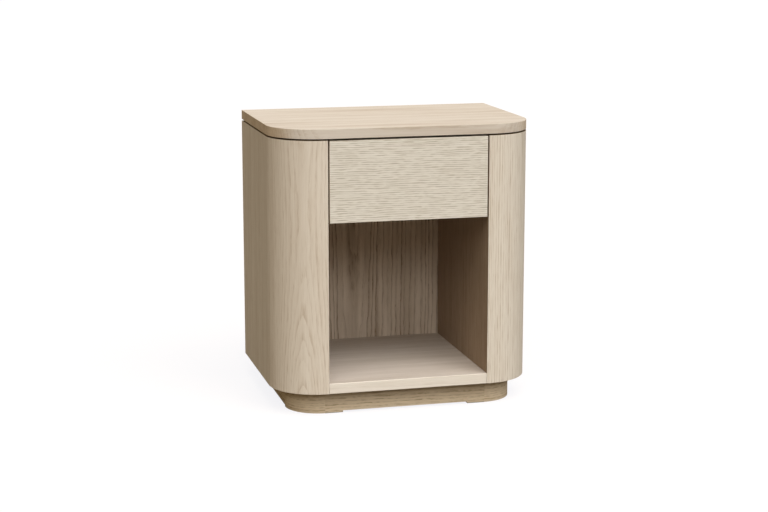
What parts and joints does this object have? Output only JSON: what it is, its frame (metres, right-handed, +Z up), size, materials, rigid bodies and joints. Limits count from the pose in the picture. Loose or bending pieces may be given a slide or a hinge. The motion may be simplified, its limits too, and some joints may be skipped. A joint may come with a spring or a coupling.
{
  "type": "bedside cabinet",
  "caption": "Bedside cabinet with rounded front columns, a handle-less drawer on ball-bearing runners over an open niche, and a set-back plinth.",
  "frame": {"origin": "on the floor, in the middle of the cabinet's width and depth", "axes": "+Z up, -Y out of the front, where the drawer opens, +X to the right seen from the front"},
  "size_m": [0.5, 0.346, 0.538],
  "materials": {
    "ash_veneer": "bleached ash veneer, matt lacquer",
    "drawer_front_veneer": "brushed ash veneer with the grain across, matt lacquer",
    "back_panel_veneer": "bleached ash veneer, matt lacquer",
    "plinth_veneer": "light brown veneer with the grain along, matt lacquer",
    "box_wood": "pale hardwood plywood, clear lacquer",
    "spacer_board": "thin board stained dark brown",
    "glide_felt": "grey-green felt",
    "runner_steel": "zinc-plated sheet steel",
    "cage_steel": "thin steel strip with polished balls",
    "screw_steel": "zinc-plated steel"
  },
  "bodies": {
    "cabinet": {"top_panel": "ash_veneer", "carcass_top": "ash_veneer", "niche_floor": "ash_veneer", "drawer_divider": "ash_veneer", "outer_side_left": "ash_veneer", "inner_side_left": "ash_veneer", "column_cap_left": "ash_veneer", "column_base_left": "ash_veneer", "outer_side_right": "ash_veneer", "inner_side_right": "ash_veneer", "column_cap_right": "ash_veneer", "column_base_right": "ash_veneer", "back_panel": "back_panel_veneer", "plinth_front_rail": "plinth_veneer", "plinth_back_rail": "plinth_veneer", "plinth_corner_left": "plinth_veneer", "plinth_side_left": "plinth_veneer", "plinth_corner_right": "plinth_veneer", "plinth_side_right": "plinth_veneer", "plinth_gusset_front_left": "box_wood", "plinth_gusset_back_left": "box_wood", "plinth_gusset_front_right": "box_wood", "plinth_gusset_back_right": "box_wood", "shadow_gap_plate": "spacer_board", "glide_front_left": "glide_felt", "glide_back_left": "glide_felt", "glide_front_right": "glide_felt", "glide_back_right": "glide_felt", "runner_cabinet_member_left": "runner_steel", "runner_cabinet_member_right": "runner_steel", "runner_screw_front_left": "screw_steel", "runner_screw_back_left": "screw_steel", "back_screw_bottom_left": "screw_steel", "back_screw_top_left": "screw_steel", "top_screw_left": "screw_steel", "runner_screw_front_right": "screw_steel", "runner_screw_back_right": "screw_steel", "back_screw_bottom_right": "screw_steel", "back_screw_top_right": "screw_steel", "top_screw_right": "screw_steel"},
    "drawer": {"drawer_box_front": "box_wood", "drawer_box_back": "box_wood", "drawer_bottom": "box_wood", "drawer_box_left": "box_wood", "drawer_box_right": "box_wood", "drawer_front": "drawer_front_veneer", "drawer_front_screw_left": "screw_steel", "runner_drawer_member_left": "runner_steel", "box_screw_front_left": "screw_steel", "box_screw_back_left": "screw_steel", "drawer_front_screw_right": "screw_steel", "runner_drawer_member_right": "runner_steel", "box_screw_front_right": "screw_steel", "box_screw_back_right": "screw_steel"},
    "middle_members": {"runner_middle_member_left": "runner_steel", "runner_middle_member_right": "runner_steel"},
    "outer_ball_cages": {"ball_cage_outer_left": "cage_steel", "ball_cage_outer_right": "cage_steel"},
    "inner_ball_cages": {"ball_cage_inner_left": "cage_steel", "ball_cage_inner_right": "cage_steel"}
  },
  "joints": [
    {"name": "drawer_slide", "type": "slide", "parent": "cabinet", "child": "drawer", "axis": [0, -1, 0], "range_m": [0, 0.28]},
    {"name": "middle_member_slide", "type": "slide", "parent": "cabinet", "child": "middle_members", "axis": [0, -1, 0], "range_m": [0, 0.14]},
    {"name": "outer_cage_slide", "type": "slide", "parent": "cabinet", "child": "outer_ball_cages", "axis": [0, -1, 0], "range_m": [0, 0.07]},
    {"name": "inner_cage_slide", "type": "slide", "parent": "cabinet", "child": "inner_ball_cages", "axis": [0, -1, 0], "range_m": [0, 0.21]}
  ],
  "couplings": [
    {"joint": "middle_member_slide", "follows": "drawer_slide", "ratio": 0.5},
    {"joint": "outer_cage_slide", "follows": "drawer_slide", "ratio": 0.25},
    {"joint": "inner_cage_slide", "follows": "drawer_slide", "ratio": 0.75}
  ]
}
